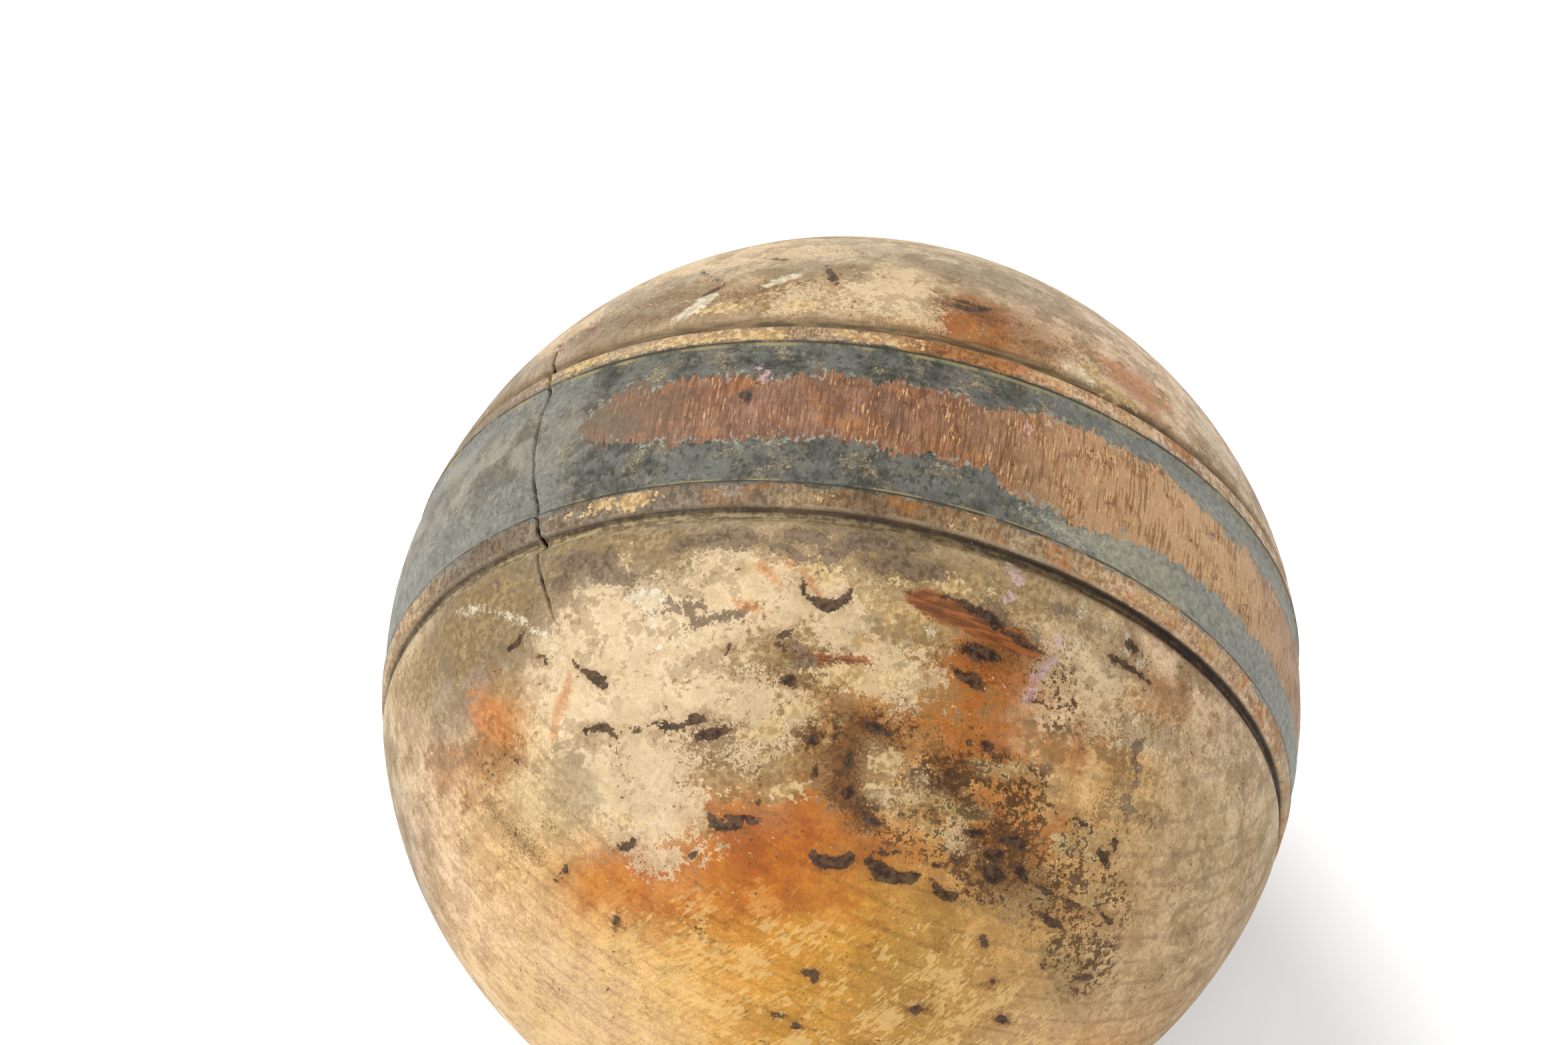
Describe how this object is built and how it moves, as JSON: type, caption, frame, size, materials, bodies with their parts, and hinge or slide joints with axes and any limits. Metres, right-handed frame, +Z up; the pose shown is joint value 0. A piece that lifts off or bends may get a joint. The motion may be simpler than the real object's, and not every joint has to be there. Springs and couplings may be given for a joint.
{
  "type": "croquet ball",
  "caption": "Turned wooden croquet ball with a painted band between two grooves, worn through to the wood, with a drying crack along the grain.",
  "frame": {"origin": "the ball's centre", "axes": "+Y along the lathe axis and the grain, +Z up as the ball lies, +X to the right of the band"},
  "size_m": [0.0904, 0.092, 0.0903],
  "materials": {
    "turned_wood": "dry and weathered, with some old polish left",
    "band_paint": "matte and finely cracked"
  },
  "bodies": {
    "root": {"wooden_ball": "turned_wood", "painted_band": "band_paint"}
  },
  "joints": []
}
